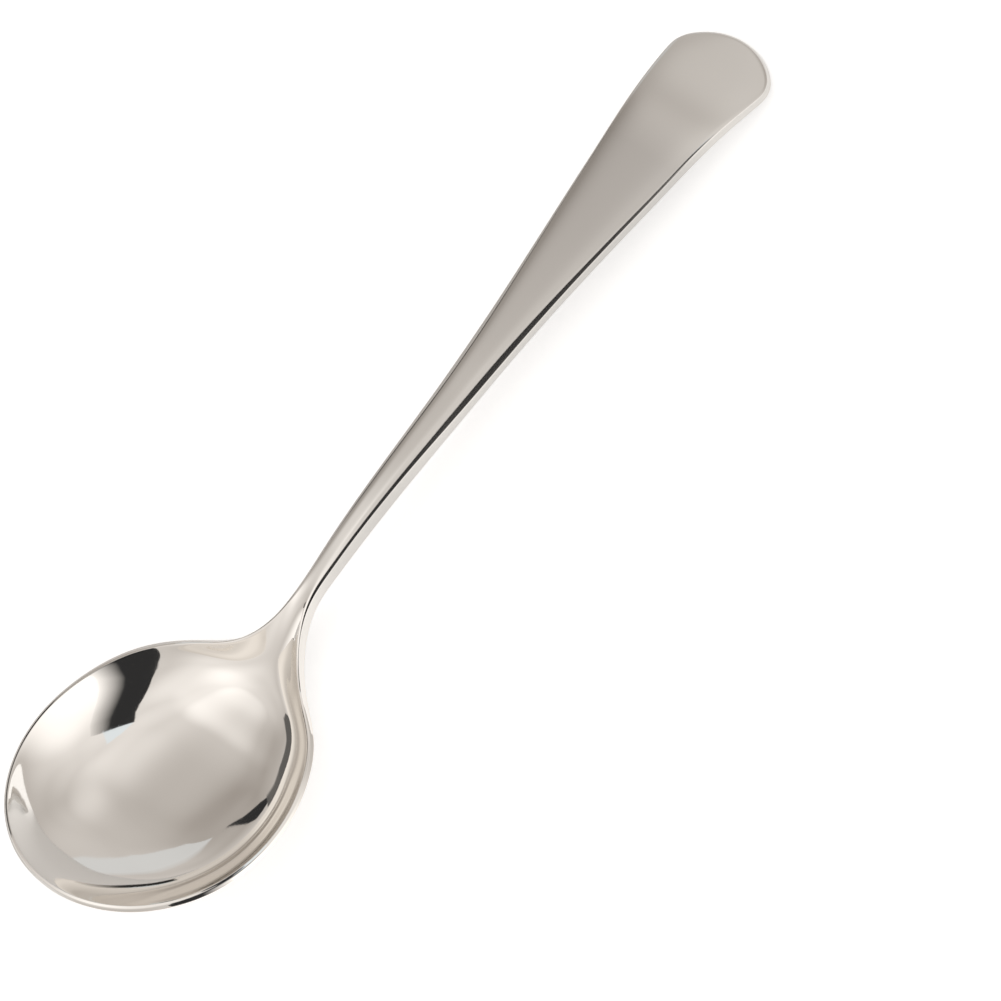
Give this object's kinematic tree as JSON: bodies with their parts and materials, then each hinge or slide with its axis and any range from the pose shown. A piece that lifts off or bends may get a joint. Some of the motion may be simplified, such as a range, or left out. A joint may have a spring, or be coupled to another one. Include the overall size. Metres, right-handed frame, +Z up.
{
  "type": "soup spoon",
  "caption": "Polished stainless-steel soup spoon with a near-round dished bowl, a narrow neck and a plain flat handle that widens to a rounded end.",
  "frame": {"origin": "under the middle of the spoon's length, on its centre line, on the surface that the spoon lies on", "axes": "+X from the bowl to the handle's end, +Y across the spoon, +Z up, out of the hollow of the bowl, as the spoon lies on a table"},
  "size_m": [0.1762, 0.0472, 0.0243],
  "materials": {
    "polished_steel": "mirror-polished stainless steel with very fine wiping scratches"
  },
  "bodies": {
    "root": {"spoon": "polished_steel"}
  },
  "joints": []
}
